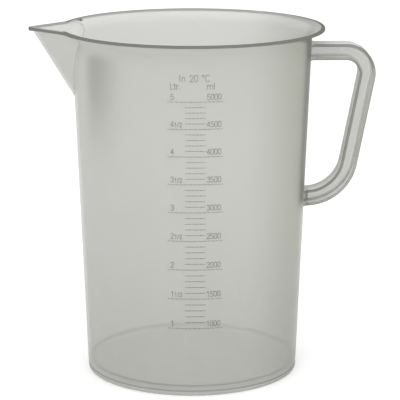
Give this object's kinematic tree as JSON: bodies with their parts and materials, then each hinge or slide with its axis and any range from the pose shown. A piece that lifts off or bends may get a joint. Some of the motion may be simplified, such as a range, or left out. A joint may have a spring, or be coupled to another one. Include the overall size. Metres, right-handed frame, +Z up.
{
  "type": "graduated measuring jug",
  "caption": "Tall tapered plastic measuring beaker with a flared rim, V-shaped pouring spout, ribbed D handle and a raised scale.",
  "frame": {"origin": "on the vessel's axis, in the plane that the foot ring stands on", "axes": "+Z up along the vessel's axis, -X towards the spout, +X towards the handle, -Y towards the raised scale"},
  "size_m": [0.2661, 0.204, 0.27],
  "materials": {
    "body_plastic": "translucent natural polypropylene, smooth with a soft sheen",
    "handle_plastic": "the same polypropylene where it is thicker, so less light comes through",
    "raised_marks": "the same polypropylene, seen darker at its small raised edges"
  },
  "bodies": {
    "root": {"vessel_wall": "body_plastic", "base_floor": "body_plastic", "foot_ring": "body_plastic", "rim_flare": "body_plastic", "pouring_spout": "body_plastic", "spout_lip": "body_plastic", "handle_outer_flange": "handle_plastic", "handle_web": "handle_plastic", "handle_inner_flange": "handle_plastic", "handle_marking_pads": "handle_plastic", "major_graduation_lines": "raised_marks", "minor_graduation_lines": "raised_marks", "millilitre_numerals": "raised_marks", "litre_numerals": "raised_marks", "unit_headings": "raised_marks", "temperature_heading": "raised_marks", "injection_gate": "body_plastic", "blank_base_badge": "body_plastic"}
  },
  "joints": []
}
